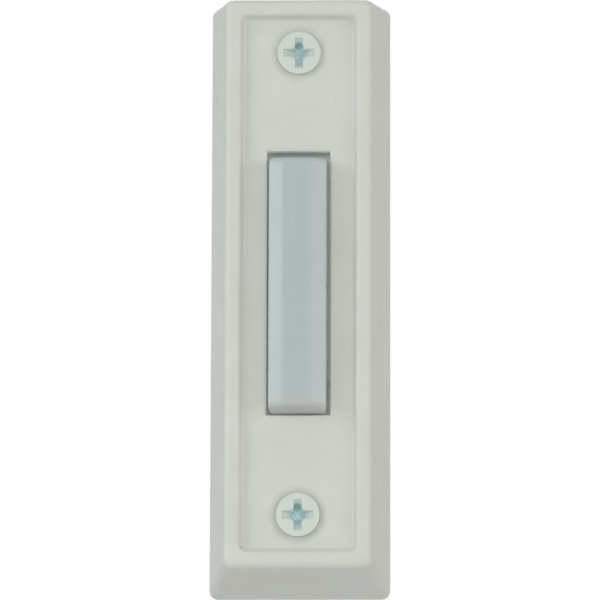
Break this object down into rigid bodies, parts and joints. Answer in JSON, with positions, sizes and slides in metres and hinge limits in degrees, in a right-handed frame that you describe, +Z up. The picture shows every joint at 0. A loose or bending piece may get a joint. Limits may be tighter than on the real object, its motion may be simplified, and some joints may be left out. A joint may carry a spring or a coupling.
{
  "type": "doorbell push button",
  "caption": "Slim wall-mounted doorbell push button: cover with leaning sides and a sunk panel, a sprung translucent push bar, countersunk mounting screws, and wire terminals behind.",
  "frame": {"origin": "middle of the cover's back edge, on the wall plane", "axes": "+Z up along the long side, +X to the right seen from the front, +Y into the wall, so the front faces -Y"},
  "size_m": [0.0238, 0.0274, 0.08],
  "materials": {
    "cover_plastic": "light grey moulded plastic, satin",
    "bar_plastic": "milky blue-grey translucent plastic",
    "base_plastic": "black moulded plastic",
    "spring_steel": "drawn spring wire",
    "bronze": "rolled spring bronze",
    "brass": "stamped brass",
    "silver": "plated contact",
    "zinc_steel": "zinc plated",
    "lamp_resin": "clear cast resin",
    "tinned_wire": "tinned wire",
    "resistor_lacquer": "lacquered",
    "diode_case": "moulded black"
  },
  "bodies": {
    "housing": {"cover": "cover_plastic", "switch_base": "base_plastic", "return_spring_upper": "spring_steel", "return_spring_lower": "spring_steel", "contact_leaf": "bronze", "fixed_contact": "brass", "contact_rivet": "silver", "terminal_plate": "brass", "terminal_screws": "zinc_steel", "clamp_washers": "zinc_steel", "mounting_screws": "zinc_steel", "lamp": "lamp_resin", "lamp_leads": "tinned_wire", "series_resistor": "resistor_lacquer", "resistor_leads": "tinned_wire", "rectifier_diode": "diode_case", "diode_leads": "tinned_wire"},
    "bar": {"push_bar": "bar_plastic"}
  },
  "joints": [
    {"name": "press", "type": "slide", "parent": "housing", "child": "bar", "axis": [0, 1, 0], "range_m": [0, 0.0014], "stiffness_N_per_m": 300, "springref_m": -0.005, "deforming": ["return_spring_upper", "return_spring_lower", "contact_leaf"]}
  ]
}
